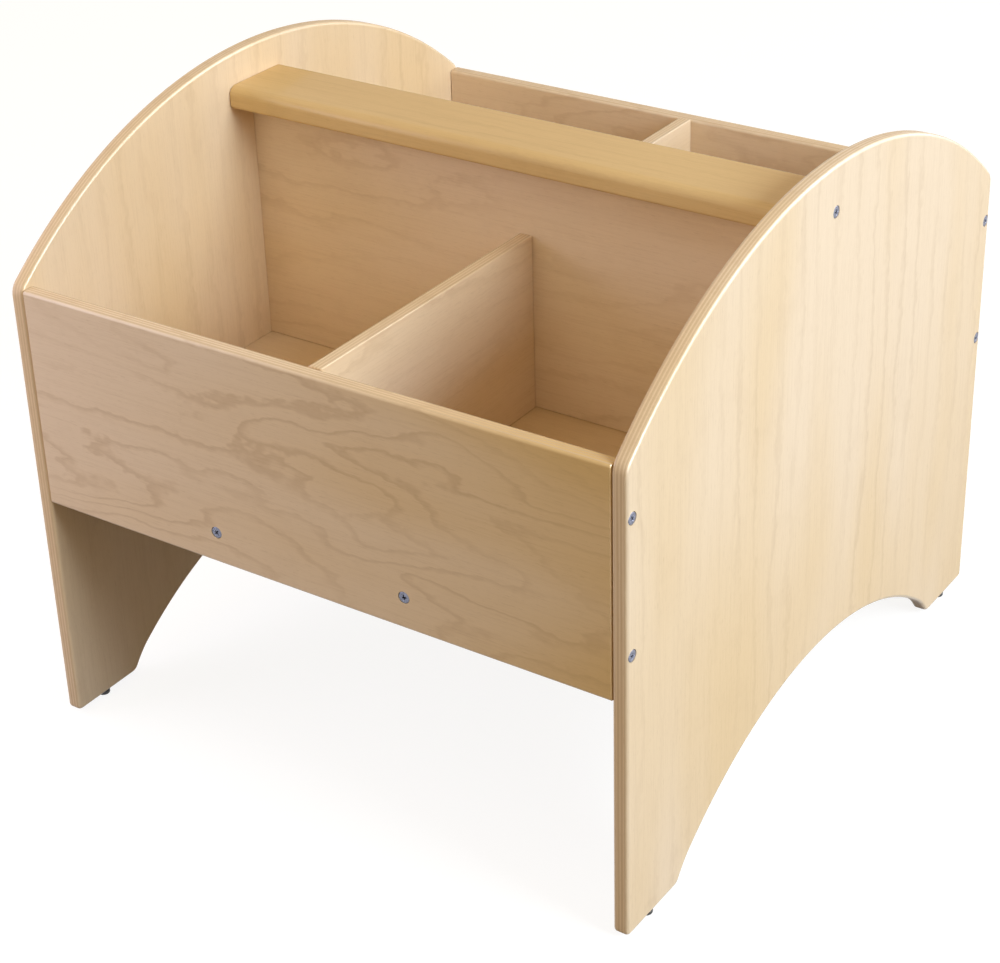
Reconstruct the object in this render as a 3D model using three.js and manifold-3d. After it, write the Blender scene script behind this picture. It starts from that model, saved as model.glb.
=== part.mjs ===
// Browser bin for a school or a library: four open compartments, held between two arched sides.
// It is made of plywood boards, screwed and grooved together, with a solid cap rail along the middle.
// Millimetres, +Z up. The origin is on the floor under the middle of the bin. X runs along the front
// panel to the right, and Y runs from the front panel to the back panel.

import * as THREE from 'three';
import { mergeVertices } from 'three/addons/utils/BufferGeometryUtils.js';
import Module from 'manifold-3d';

const wasm = await Module();
wasm.setup();

// Whole bin
const binWidth = 560;
const binDepth = 592;
const boardThickness = 13;
const edgeRadius = 3;              // roundover on the open edges of the boards
const fitGap = 0.3;                // between pieces that touch

// Side panels: heights are above the underside of the feet
const crestHeight = 508;           // top of the arch
const shoulderHeight = 396;        // where the arch starts, level with the front and back panels
const footLength = 73;             // along the floor
const legArchHeight = 89;          // crest of the arch cut out between the feet
const heelLength = 18;             // last stretch of that arch, where it turns steeper
const heelHeight = 20;
const grooveDepth = 4;             // lets the shelf and the centre divider into the sides

// Front and back panels, shelf and dividers
const panelHeight = 190;
const shelfLift = 21;              // underside of the shelf above the lower edge of the panels
const crossOffset = 9.5;           // the cross dividers stand right and left of the middle by this much

// Cap rail along the centre divider
const capWidth = 72;
const capThickness = 19;
const capNoseRadius = 8;
const capDrop = 28;                // top of the rail below the crest of the sides
const capGrooveDepth = 5;

// Screws
const headRadius = 4.8;
const headThickness = 2.4;
const headEdge = 0.6;              // chamfer round the head
const shankRadius = 2.4;
const screwLength = 46;
const tipLength = 5;
const sideScrewSpacing = 110;      // between the two screws in each panel end
const shelfScrewSpacing = 178;     // between the two screws along each panel
const dividerScrewSpacing = 360;   // between the outer two of the three under the centre divider
const crossEndInset = 44;          // upper and lower screw from the ends of a cross divider's edge
const crossFootInset = 60;         // the screws under a cross divider, from its ends

// Glides, nailed in under the feet
const glideRadius = 5.5;
const glideHeight = 4;
const glideEdge = 1.2;
const nailRadius = 1.2;
const nailLength = 14;

// Facets
const archSegments = 16;
const roundoverSegments = 3;
const screwSides = 12;

// Worked out from the sizes above
const footZ = glideHeight;
const crestZ = footZ + crestHeight;
const shoulderZ = footZ + shoulderHeight;
const panelBottomZ = shoulderZ - panelHeight;
const panelMiddleZ = (shoulderZ + panelBottomZ) / 2;
const shelfBottomZ = panelBottomZ + shelfLift;
const shelfTopZ = shelfBottomZ + boardThickness;
const shelfMiddleZ = (shelfBottomZ + shelfTopZ) / 2;
const capTopZ = crestZ - capDrop;
const capBottomZ = capTopZ - capThickness;
const capMiddleZ = (capTopZ + capBottomZ) / 2;
const insideWidth = binWidth - 2 * boardThickness;
const insideDepth = binDepth - 2 * boardThickness;
const panelY = (binDepth - boardThickness) / 2;
const sideX = (binWidth - boardThickness) / 2;
const grooveWidth = boardThickness + 2 * fitGap;

// Materials
const birchPly = new THREE.MeshStandardMaterial({ color: 0xe6cb9f, roughness: 0.45, metalness: 0 });
const solidBirch = new THREE.MeshStandardMaterial({ color: 0xd6b279, roughness: 0.45, metalness: 0 });
const zincSteel = new THREE.MeshStandardMaterial({ color: 0xb4bac2, roughness: 0.35, metalness: 0.9 });
const blackNylon = new THREE.MeshStandardMaterial({ color: 0x1d1c1b, roughness: 0.6, metalness: 0 });

// A closed geometry as a solid that can be joined and cut
function solidOf(geometry) {
  const bare = geometry.clone();
  bare.deleteAttribute('normal');
  bare.deleteAttribute('uv');
  const merged = mergeVertices(bare, 1e-4);
  const corners = merged.index.array;
  const triangles = [];
  for (let i = 0; i < corners.length; i += 3) {
    const [a, b, c] = corners.slice(i, i + 3);
    if (a !== b && b !== c && c !== a) {
      triangles.push(a, b, c);
    }
  }
  const mesh = new wasm.Mesh({
    numProp: 3,
    vertProperties: Float32Array.from(merged.attributes.position.array),
    triVerts: Uint32Array.from(triangles),
  });
  return new wasm.Manifold(mesh);
}

// A solid back as a geometry
function geometryOf(solid) {
  const mesh = solid.getMesh();
  const geometry = new THREE.BufferGeometry();
  geometry.setAttribute('position', new THREE.BufferAttribute(mesh.vertProperties, mesh.numProp));
  geometry.setIndex(new THREE.BufferAttribute(mesh.triVerts, 1));
  geometry.computeVertexNormals();
  return geometry;
}

// Outline of a side panel, seen along X: front edge, top arch, back edge, foot, leg arch, foot
function sideOutline() {
  const halfDepth = binDepth / 2;
  const halfSpan = halfDepth - footLength;
  const topRise = crestHeight - shoulderHeight;
  const topRadius = (halfDepth ** 2 + topRise ** 2) / (2 * topRise);
  const topAngle = Math.asin(halfDepth / topRadius);
  const heelY = halfSpan - heelLength;
  const legRise = legArchHeight - heelHeight;
  const legRadius = (heelY ** 2 + legRise ** 2) / (2 * legRise);
  const legAngle = Math.asin(heelY / legRadius);
  const legCentreZ = footZ + legArchHeight - legRadius;
  const heelZ = footZ + heelHeight;
  const bendY = heelY + heelLength / 2;
  const bendZ = heelZ - (heelLength / 2) * Math.tan(legAngle);

  const outline = new THREE.Shape();
  outline.moveTo(-halfDepth, footZ);
  outline.lineTo(-halfSpan, footZ);
  outline.quadraticCurveTo(-bendY, bendZ, -heelY, heelZ);
  outline.absarc(0, legCentreZ, legRadius, Math.PI / 2 + legAngle, Math.PI / 2 - legAngle, true);
  outline.quadraticCurveTo(bendY, bendZ, halfSpan, footZ);
  outline.lineTo(halfDepth, footZ);
  outline.lineTo(halfDepth, shoulderZ);
  outline.absarc(0, crestZ - topRadius, topRadius, Math.PI / 2 - topAngle, Math.PI / 2 + topAngle, false);
  outline.closePath();
  return outline;
}

// Section of a board, centred on the origin, with its own radius at the lower and the upper corners
function boardSection(width, height, lowerRadius, upperRadius) {
  const x = width / 2;
  const y = height / 2;
  const section = new THREE.Shape();
  section.moveTo(-x + lowerRadius, -y);
  section.lineTo(x - lowerRadius, -y);
  if (lowerRadius > 0) {
    section.absarc(x - lowerRadius, -y + lowerRadius, lowerRadius, -Math.PI / 2, 0, false);
  }
  section.lineTo(x, y - upperRadius);
  if (upperRadius > 0) {
    section.absarc(x - upperRadius, y - upperRadius, upperRadius, 0, Math.PI / 2, false);
  }
  section.lineTo(-x + upperRadius, y);
  if (upperRadius > 0) {
    section.absarc(-x + upperRadius, y - upperRadius, upperRadius, Math.PI / 2, Math.PI, false);
  }
  section.lineTo(-x, -y + lowerRadius);
  if (lowerRadius > 0) {
    section.absarc(-x + lowerRadius, -y + lowerRadius, lowerRadius, Math.PI, Math.PI * 1.5, false);
  }
  return section;
}

// A section drawn in Y and Z, run along X, centred on its length
function runAlongX(section, length, curveSegments) {
  const geometry = new THREE.ExtrudeGeometry(section, { depth: length, bevelEnabled: false, curveSegments });
  geometry.translate(0, 0, -length / 2);
  geometry.rotateY(Math.PI / 2);
  geometry.rotateX(Math.PI / 2);
  return geometry;
}

// A section drawn in X and Z, run along Y, centred on its length
function runAlongY(section, length, curveSegments) {
  const geometry = new THREE.ExtrudeGeometry(section, { depth: length, bevelEnabled: false, curveSegments });
  geometry.translate(0, 0, -length / 2);
  geometry.rotateX(Math.PI / 2);
  return geometry;
}

// A box between two corners, as a cutter
function boxBetween(low, high) {
  const geometry = new THREE.BoxGeometry(high.x - low.x, high.y - low.y, high.z - low.z);
  geometry.translate((low.x + high.x) / 2, (low.y + high.y) / 2, (low.z + high.z) / 2);
  return solidOf(geometry);
}

// Turns the local +Y of a turned shape to a direction, and moves its origin to a point
function placement(point, direction) {
  const turn = new THREE.Quaternion().setFromUnitVectors(new THREE.Vector3(0, 1, 0), direction);
  return new THREE.Matrix4().compose(point, turn, new THREE.Vector3(1, 1, 1));
}

// A screw, its head's outer face at the origin and its tip along +Y
function screwGeometry() {
  const profile = [
    new THREE.Vector2(0, 0),
    new THREE.Vector2(headRadius - headEdge, 0),
    new THREE.Vector2(headRadius, headEdge),
    new THREE.Vector2(headRadius, headThickness),
    new THREE.Vector2(shankRadius, headThickness),
    new THREE.Vector2(shankRadius, screwLength - tipLength),
    new THREE.Vector2(0, screwLength),
  ];
  return new THREE.LatheGeometry(profile, screwSides);
}

// The counterbored hole for a screw, open above the head
function screwHoleGeometry() {
  const profile = [
    new THREE.Vector2(0, -edgeRadius),
    new THREE.Vector2(headRadius + fitGap, -edgeRadius),
    new THREE.Vector2(headRadius + fitGap, headThickness + fitGap),
    new THREE.Vector2(shankRadius + fitGap, headThickness + fitGap),
    new THREE.Vector2(shankRadius + fitGap, screwLength + fitGap),
    new THREE.Vector2(0, screwLength + fitGap),
  ];
  return new THREE.LatheGeometry(profile, screwSides);
}

// A glide, its sole on the floor at the origin and its nail up along +Y
function glideGeometry() {
  const profile = [
    new THREE.Vector2(0, 0),
    new THREE.Vector2(glideRadius - glideEdge, 0),
    new THREE.Vector2(glideRadius, glideEdge),
    new THREE.Vector2(glideRadius, glideHeight - fitGap),
    new THREE.Vector2(nailRadius, glideHeight - fitGap),
    new THREE.Vector2(nailRadius, nailLength - nailRadius),
    new THREE.Vector2(0, nailLength),
  ];
  return new THREE.LatheGeometry(profile, screwSides);
}

// The hole for a glide's nail
function nailHoleGeometry() {
  const profile = [
    new THREE.Vector2(0, 0),
    new THREE.Vector2(nailRadius + fitGap, 0),
    new THREE.Vector2(nailRadius + fitGap, nailLength + fitGap),
    new THREE.Vector2(0, nailLength + fitGap),
  ];
  return new THREE.LatheGeometry(profile, screwSides);
}

// Every screw: the middle of its head's outer face, the way it points, and the boards it goes through
const screws = [];
for (const [side, sign] of [['left', -1], ['right', 1]]) {
  const direction = new THREE.Vector3(-sign, 0, 0);
  const faceX = sign * binWidth / 2;
  for (const [end, endSign] of [['front', -1], ['back', 1]]) {
    for (const [level, levelSign] of [['lower', -1], ['upper', 1]]) {
      screws.push({
        name: `${side}_${end}_${level}_screw`,
        point: new THREE.Vector3(faceX, endSign * panelY, panelMiddleZ + levelSign * sideScrewSpacing / 2),
        direction,
        boards: [`${side}_side_panel`, `${end}_panel`],
      });
    }
  }
  screws.push({
    name: `${side}_cap_screw`,
    point: new THREE.Vector3(faceX, 0, capMiddleZ),
    direction,
    boards: [`${side}_side_panel`, 'cap_rail'],
  });
}
for (const [end, endSign] of [['front', -1], ['back', 1]]) {
  for (const [side, sign] of [['left', -1], ['right', 1]]) {
    screws.push({
      name: `${end}_${side}_shelf_screw`,
      point: new THREE.Vector3(sign * shelfScrewSpacing / 2, endSign * binDepth / 2, shelfMiddleZ),
      direction: new THREE.Vector3(0, -endSign, 0),
      boards: [`${end}_panel`, 'bottom_shelf'],
    });
  }
  const crossX = -endSign * crossOffset;
  for (const [level, z] of [['lower', shelfTopZ + crossEndInset], ['upper', shoulderZ - crossEndInset]]) {
    screws.push({
      name: `${end}_cross_${level}_screw`,
      point: new THREE.Vector3(crossX, -endSign * boardThickness / 2, z),
      direction: new THREE.Vector3(0, endSign, 0),
      boards: ['centre_divider', `${end}_cross_divider`],
    });
  }
  const nearY = boardThickness / 2 + crossFootInset;
  const farY = insideDepth / 2 - crossFootInset;
  for (const [reach, y] of [['inner', nearY], ['outer', farY]]) {
    screws.push({
      name: `${end}_cross_${reach}_foot_screw`,
      point: new THREE.Vector3(crossX, endSign * y, shelfBottomZ),
      direction: new THREE.Vector3(0, 0, 1),
      boards: ['bottom_shelf', `${end}_cross_divider`],
    });
  }
}
for (const [place, sign] of [['left', -1], ['middle', 0], ['right', 1]]) {
  screws.push({
    name: `divider_${place}_foot_screw`,
    point: new THREE.Vector3(sign * dividerScrewSpacing / 2, 0, shelfBottomZ),
    direction: new THREE.Vector3(0, 0, 1),
    boards: ['bottom_shelf', 'centre_divider'],
  });
}

// Every glide, under the middle of a foot
const glides = [];
for (const [side, sign] of [['left', -1], ['right', 1]]) {
  for (const [end, endSign] of [['front', -1], ['back', 1]]) {
    glides.push({
      name: `${side}_${end}_glide`,
      point: new THREE.Vector3(sign * sideX, endSign * (binDepth - footLength) / 2, 0),
      board: `${side}_side_panel`,
    });
  }
}

const bin = new THREE.Group();
bin.name = 'picture_book_browser_bin';

// Adds a board at its place, with the holes of its screws and glides and its own grooves cut out
function addBoard(name, geometry, position, material, grooves = []) {
  const toBoard = new THREE.Matrix4().makeTranslation(-position.x, -position.y, -position.z);
  const cutters = [];
  for (const screw of screws.filter((candidate) => candidate.boards.includes(name))) {
    const hole = screwHoleGeometry().applyMatrix4(placement(screw.point, screw.direction));
    cutters.push(solidOf(hole.applyMatrix4(toBoard)));
  }
  for (const glide of glides.filter((candidate) => candidate.board === name)) {
    const hole = nailHoleGeometry().applyMatrix4(placement(glide.point, new THREE.Vector3(0, 0, 1)));
    cutters.push(solidOf(hole.applyMatrix4(toBoard)));
  }
  for (const [low, high] of grooves) {
    cutters.push(boxBetween(low.clone().sub(position), high.clone().sub(position)));
  }
  let board = solidOf(geometry);
  for (const cutter of cutters) {
    board = board.subtract(cutter);
  }
  const mesh = new THREE.Mesh(geometryOf(board), material);
  mesh.name = name;
  mesh.position.copy(position);
  bin.add(mesh);
}

// Side panels, with their edges rounded over and grooves inside for the shelf and the centre divider
for (const [side, sign] of [['left', -1], ['right', 1]]) {
  const geometry = new THREE.ExtrudeGeometry(sideOutline(), {
    depth: boardThickness - 2 * edgeRadius,
    curveSegments: archSegments,
    bevelThickness: edgeRadius,
    bevelSize: edgeRadius,
    bevelOffset: -edgeRadius,
    bevelSegments: roundoverSegments,
  });
  geometry.translate(0, 0, edgeRadius - boardThickness / 2);
  geometry.rotateY(Math.PI / 2);
  geometry.rotateX(Math.PI / 2);
  const innerX = sign * insideWidth / 2;
  const lowX = Math.min(innerX - edgeRadius * sign, innerX + grooveDepth * sign);
  const highX = Math.max(innerX - edgeRadius * sign, innerX + grooveDepth * sign);
  const shelfGroove = [
    new THREE.Vector3(lowX, -insideDepth / 2, shelfBottomZ - fitGap),
    new THREE.Vector3(highX, insideDepth / 2, shelfTopZ + fitGap),
  ];
  const dividerGroove = [
    new THREE.Vector3(lowX, -grooveWidth / 2, shelfMiddleZ),
    new THREE.Vector3(highX, grooveWidth / 2, capBottomZ + capGrooveDepth),
  ];
  const position = new THREE.Vector3(sign * sideX, 0, 0);
  addBoard(`${side}_side_panel`, geometry, position, birchPly, [shelfGroove, dividerGroove]);
}

// Front and back panels, between the sides and flush with their edges
for (const [end, endSign] of [['front', -1], ['back', 1]]) {
  const section = boardSection(boardThickness, panelHeight, edgeRadius, edgeRadius);
  const geometry = runAlongX(section, insideWidth - 2 * fitGap, roundoverSegments);
  const position = new THREE.Vector3(0, endSign * panelY, panelMiddleZ);
  addBoard(`${end}_panel`, geometry, position, birchPly);
}

// Bottom shelf, between the panels and let into the sides
const shelfSection = boardSection(insideDepth - 2 * fitGap, boardThickness, 0, 0);
const grooveLength = insideWidth + 2 * (grooveDepth - fitGap);
addBoard(
  'bottom_shelf',
  runAlongX(shelfSection, grooveLength, roundoverSegments),
  new THREE.Vector3(0, 0, shelfMiddleZ),
  birchPly,
);

// Centre divider, on the shelf, let into the sides and the cap rail
const dividerBottomZ = shelfTopZ + fitGap;
const dividerTopZ = capBottomZ + capGrooveDepth - fitGap;
const dividerSection = boardSection(boardThickness, dividerTopZ - dividerBottomZ, 0, 0);
addBoard(
  'centre_divider',
  runAlongX(dividerSection, grooveLength, roundoverSegments),
  new THREE.Vector3(0, 0, (dividerBottomZ + dividerTopZ) / 2),
  birchPly,
);

// Cap rail, round-nosed, over the top edge of the centre divider
const capSection = boardSection(capWidth, capThickness, edgeRadius, capNoseRadius);
const capGroove = [
  new THREE.Vector3(-binWidth / 2, -grooveWidth / 2, capBottomZ - edgeRadius),
  new THREE.Vector3(binWidth / 2, grooveWidth / 2, capBottomZ + capGrooveDepth),
];
addBoard(
  'cap_rail',
  runAlongX(capSection, insideWidth - 2 * fitGap, 2 * roundoverSegments),
  new THREE.Vector3(0, 0, capMiddleZ),
  solidBirch,
  [capGroove],
);

// Cross dividers, from the centre divider to the front and back panels
for (const [end, endSign] of [['front', -1], ['back', 1]]) {
  const crossHeight = shoulderZ - dividerBottomZ;
  const crossLength = (insideDepth - boardThickness) / 2 - 2 * fitGap;
  const section = boardSection(boardThickness, crossHeight, 0, edgeRadius);
  const geometry = runAlongY(section, crossLength, roundoverSegments);
  const crossY = endSign * (insideDepth + boardThickness) / 4;
  const position = new THREE.Vector3(-endSign * crossOffset, crossY, dividerBottomZ + crossHeight / 2);
  addBoard(`${end}_cross_divider`, geometry, position, birchPly);
}

// Adds a turned piece with its own +Y along a direction
function addTurned(name, geometry, point, direction, material) {
  const mesh = new THREE.Mesh(geometryOf(solidOf(geometry)), material);
  mesh.name = name;
  mesh.applyMatrix4(placement(point, direction));
  bin.add(mesh);
}

for (const screw of screws) {
  addTurned(screw.name, screwGeometry(), screw.point, screw.direction, zincSteel);
}
for (const glide of glides) {
  addTurned(glide.name, glideGeometry(), glide.point, new THREE.Vector3(0, 0, 1), blackNylon);
}

export default bin;
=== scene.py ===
# Browser bin: two arched plywood sides on arch-cut feet, a front and a back panel, a shelf, a centre divider
# under a round-nosed cap rail, and two cross dividers. Metres, +Z up, as in the CAD frame.
import math

import bpy
import numpy as np
from mathutils import Matrix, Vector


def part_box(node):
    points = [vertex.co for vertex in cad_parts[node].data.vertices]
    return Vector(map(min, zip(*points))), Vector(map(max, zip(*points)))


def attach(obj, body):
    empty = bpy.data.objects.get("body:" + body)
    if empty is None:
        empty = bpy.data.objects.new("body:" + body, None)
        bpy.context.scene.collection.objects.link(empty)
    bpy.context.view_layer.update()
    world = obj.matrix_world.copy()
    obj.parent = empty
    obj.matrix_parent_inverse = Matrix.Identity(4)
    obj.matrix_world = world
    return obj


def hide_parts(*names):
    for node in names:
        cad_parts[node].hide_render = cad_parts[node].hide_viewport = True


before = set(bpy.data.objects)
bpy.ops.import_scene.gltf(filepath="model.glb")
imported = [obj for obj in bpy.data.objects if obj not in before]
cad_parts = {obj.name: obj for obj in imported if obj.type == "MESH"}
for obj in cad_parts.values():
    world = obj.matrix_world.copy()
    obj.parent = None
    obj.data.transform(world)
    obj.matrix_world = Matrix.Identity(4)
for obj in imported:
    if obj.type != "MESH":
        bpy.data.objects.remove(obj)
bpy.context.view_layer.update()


# Side panels
# Two birch plywood boards, sawn to an arched top and an arch between two feet, rounded over along the
# whole outline, grooved inside for the shelf and the centre divider, and finished with clear lacquer.
side_low, side_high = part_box("right_side_panel")
panel_low, panel_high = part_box("front_panel")
shelf_low, shelf_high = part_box("bottom_shelf")
divider_low, divider_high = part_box("centre_divider")
cap_low, cap_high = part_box("cap_rail")
board_thickness = side_high.x - side_low.x
half_depth = side_high.y
foot_z = side_low.z
crest_z = side_high.z
shoulder_z = panel_high.z
foot_length = 0.073
leg_arch_height = 0.089
heel_length = 0.018
heel_height = 0.020
edge_radius = 0.003
flat_margin = 0.0004
corner_ease = 0.005
shoulder_ease = 0.007
groove_depth = 0.004
fit_gap = 0.0003
head_radius = 0.0048
head_thickness = 0.0024
shank_radius = 0.0024
screw_length = 0.046
screw_spacing = 0.110
nail_radius = 0.0012
nail_length = 0.014
smooth_angle = math.radians(32)

# Points worked out on the outline's curves, and points kept on its stretches, its roundover and a bore
heel_fineness = 30
leg_fineness = 300
crest_fineness = 400
toe_points = 6
leg_points = 96
upright_points = 20
corner_points = 8
half_corner_points = 5
roundover_points = 8
bore_sides = 40

# Places that the boards and their fasteners share
side_middle_x = (side_low.x + side_high.x) / 2
panel_y = half_depth - board_thickness / 2
panel_middle_z = (panel_low.z + panel_high.z) / 2
cap_middle_z = (cap_low.z + cap_high.z) / 2
glide_y = half_depth - foot_length / 2
screw_levels = (panel_middle_z - screw_spacing / 2, panel_middle_z + screw_spacing / 2)
shelf_reach = shelf_high.y + fit_gap
divider_reach = divider_high.y + fit_gap
side_grain_z = 0.26

# Colours of the plywood
veneer_light = (0.800, 0.650, 0.495, 1)
veneer_warm = (0.750, 0.565, 0.345, 1)
latewood_brown = (0.430, 0.265, 0.130, 1)
pore_brown = (0.360, 0.220, 0.110, 1)
cross_ply_tan = (0.640, 0.470, 0.300, 1)
glue_brown = (0.360, 0.225, 0.120, 1)

# Figure of the veneer: how often each mark repeats in a metre along, across and into the grain
hills_per_metre = (3.0, 11.0, 9.0)
wobbles_per_metre = (14.0, 45.0, 45.0)
kinks_per_metre = (90.0, 170.0, 170.0)
fades_per_metre = (3.0, 9.0, 9.0)
fibres_per_metre = (16.0, 620.0, 620.0)
pores_per_metre = (120.0, 1900.0, 1900.0)
tones_per_metre = (1.7, 6.5, 6.5)
knots_per_metre = (4.2, 6.0, 6.0)
seed_shift = (1.37, 0.61, 0.23)
wobble_share = 0.7
kink_share = 0.38
line_rise = (0.62, 0.88)
line_fall = (0.88, 1.0)
fade_span = (0.36, 0.62)
faintest_line = 0.25
pore_span = (0.62, 0.74)
knot_span = (0.006, 0.016)

# Plies, and wear by hands and floors
ply_count = 9
wanders_per_metre = (9.0, 9.0, 0.0)
ply_wander = 0.3
outer_ply_margin = 0.2
cross_ply_start = (0.48, 0.52)
cross_ply_end = (0.96, 1.0)
glue_span = (0.43, 0.48)
wear_clouds_per_metre = 26.0
wear_span = (0.5, 0.78)
worn_height = 0.07
floor_wear = 0.8
plain_wear = 0.35

# How far each mark shows in the plywood's colour, roughness and relief, and its lacquer
plain_tone_span = (0.3, 0.7)
streak_span = (0.42, 0.75)
streak_share = 0.10
pore_share = 0.16
knot_share = 0.75
end_grain_share = 0.5
glue_share = 0.32
wear_share = 0.14
plywood_wear = 1.0
plywood_roughness = 0.34
fibre_roughness = 0.12
cross_ply_roughness = 0.10
wear_roughness = 0.18
pore_relief = -0.8
line_relief = 0.2
grain_strength = 0.16
grain_relief = 0.0004
face_coat = 0.4
edge_coat = 1.0
edge_fade = 0.0008
face_fade = (0.00012, 0.00002)
lacquer_roughness = 0.25
bare_wood_gloss = 0.0


def evenly(points, count, skip=0.0):
    """Points at equal running lengths along a polyline, leaving out a stretch of length skip at each end."""
    steps = np.linalg.norm(np.diff(points, axis=0), axis=1)
    reach = np.concatenate([[0.0], np.cumsum(steps)])
    at = np.linspace(skip, reach[-1] - skip, count)
    return np.stack([np.interp(at, reach, column) for column in points.T], axis=1)


def bent(start, corner, end, t):
    """Quadratic curve: (1-t)^2 start + 2t(1-t) corner + t^2 end."""
    t = np.asarray(t)[:, None]
    start, corner, end = np.asarray(start), np.asarray(corner), np.asarray(end)
    return (1 - t) ** 2 * start + 2 * t * (1 - t) * corner + t ** 2 * end


def arc(centre, radius, start, end, count):
    """Points on a circle: centre + radius (cos a, sin a), with the angle a running from start to end."""
    angle = np.linspace(start, end, count)
    return np.asarray(centre) + radius * np.stack([np.cos(angle), np.sin(angle)], axis=1)


def side_chains():
    """The outline of a side in Y and Z as four chains: lower (front to back), upper (front to back), front
    (up) and back (up). Each corner is a quadratic curve between its two edges; chains meet at its middle."""
    up = math.pi / 2
    half_span = half_depth - foot_length
    crest_rise = crest_z - shoulder_z
    crest_radius = (half_depth ** 2 + crest_rise ** 2) / (2 * crest_rise)
    crest_angle = math.asin(half_depth / crest_radius)
    crest_centre = (0, crest_z - crest_radius)
    crest_curve = arc(crest_centre, crest_radius, up + crest_angle, up - crest_angle, crest_fineness)
    heel_y = half_span - heel_length
    heel_z = foot_z + heel_height
    leg_rise = leg_arch_height - heel_height
    leg_radius = (heel_y ** 2 + leg_rise ** 2) / (2 * leg_rise)
    leg_angle = math.asin(heel_y / leg_radius)
    leg_centre = (0, foot_z + leg_arch_height - leg_radius)
    leg_arc = arc(leg_centre, leg_radius, up + leg_angle, up - leg_angle, leg_fineness)
    heel_bend = (heel_y + heel_length / 2, heel_z - heel_length / 2 * math.tan(leg_angle))
    heel = bent((half_span, foot_z), heel_bend, (heel_y, heel_z), np.linspace(0, 1, heel_fineness))
    leg_curve = np.concatenate([heel * (-1, 1), leg_arc[1:-1], heel[::-1]])

    toe_corner = np.array((-half_depth, foot_z))
    heel_corner = np.array((-half_span, foot_z))
    shoulder_corner = np.array((-half_depth, shoulder_z))
    toe = evenly(np.stack([toe_corner, heel_corner]), toe_points, corner_ease)
    leg = evenly(leg_curve, leg_points, corner_ease)
    upright = evenly(np.stack([toe_corner, shoulder_corner]), upright_points, corner_ease)
    upright[-1] = shoulder_corner - (0, shoulder_ease)
    crest_start = evenly(crest_curve, 2, shoulder_ease)[0]
    whole_turn = np.linspace(0, 1, corner_points)[1:-1]
    first_half = np.linspace(0, 0.5, half_corner_points)[:-1]
    last_half = np.linspace(0.5, 1, half_corner_points)[:-1]

    lower_front = np.concatenate([
        bent(upright[0], toe_corner, toe[0], last_half),
        toe,
        bent(toe[-1], heel_corner, leg[0], whole_turn),
    ])
    lower = np.concatenate([lower_front, leg, lower_front[::-1] * (-1, 1)])
    shoulder = bent(upright[-1], shoulder_corner, crest_start, last_half)
    crest = evenly(crest_curve, len(lower) - 2 * len(shoulder), shoulder_ease)
    upper = np.concatenate([shoulder, crest, shoulder[::-1] * (-1, 1)])
    front = np.concatenate([
        lower[:1],
        bent(upright[0], toe_corner, toe[0], first_half)[::-1],
        upright[1:-1],
        bent(upright[-1], shoulder_corner, crest_start, first_half),
        upper[:1],
    ])
    return lower, upper, front, front * (-1, 1)


def make_piece(name, points, faces):
    """A mesh object at the origin from an array of points and a list of faces."""
    mesh = bpy.data.meshes.new(name)
    mesh.from_pydata(points.tolist(), [], faces)
    mesh.validate()
    piece = bpy.data.objects.new(name, mesh)
    bpy.context.scene.collection.objects.link(piece)
    return piece


def band_quads(rings):
    """Quads between neighbouring rows of an index grid, each row being a ring round the piece."""
    after = np.roll(rings, -1, axis=1)
    return np.stack([rings[:-1], rings[1:], after[1:], after[:-1]], axis=-1).reshape(-1, 4)


def grid_quads(ids):
    """Quads between neighbouring rows and columns of an index grid."""
    return np.stack([ids[:-1, :-1], ids[1:, :-1], ids[1:, 1:], ids[:-1, 1:]], axis=-1).reshape(-1, 4)


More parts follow.
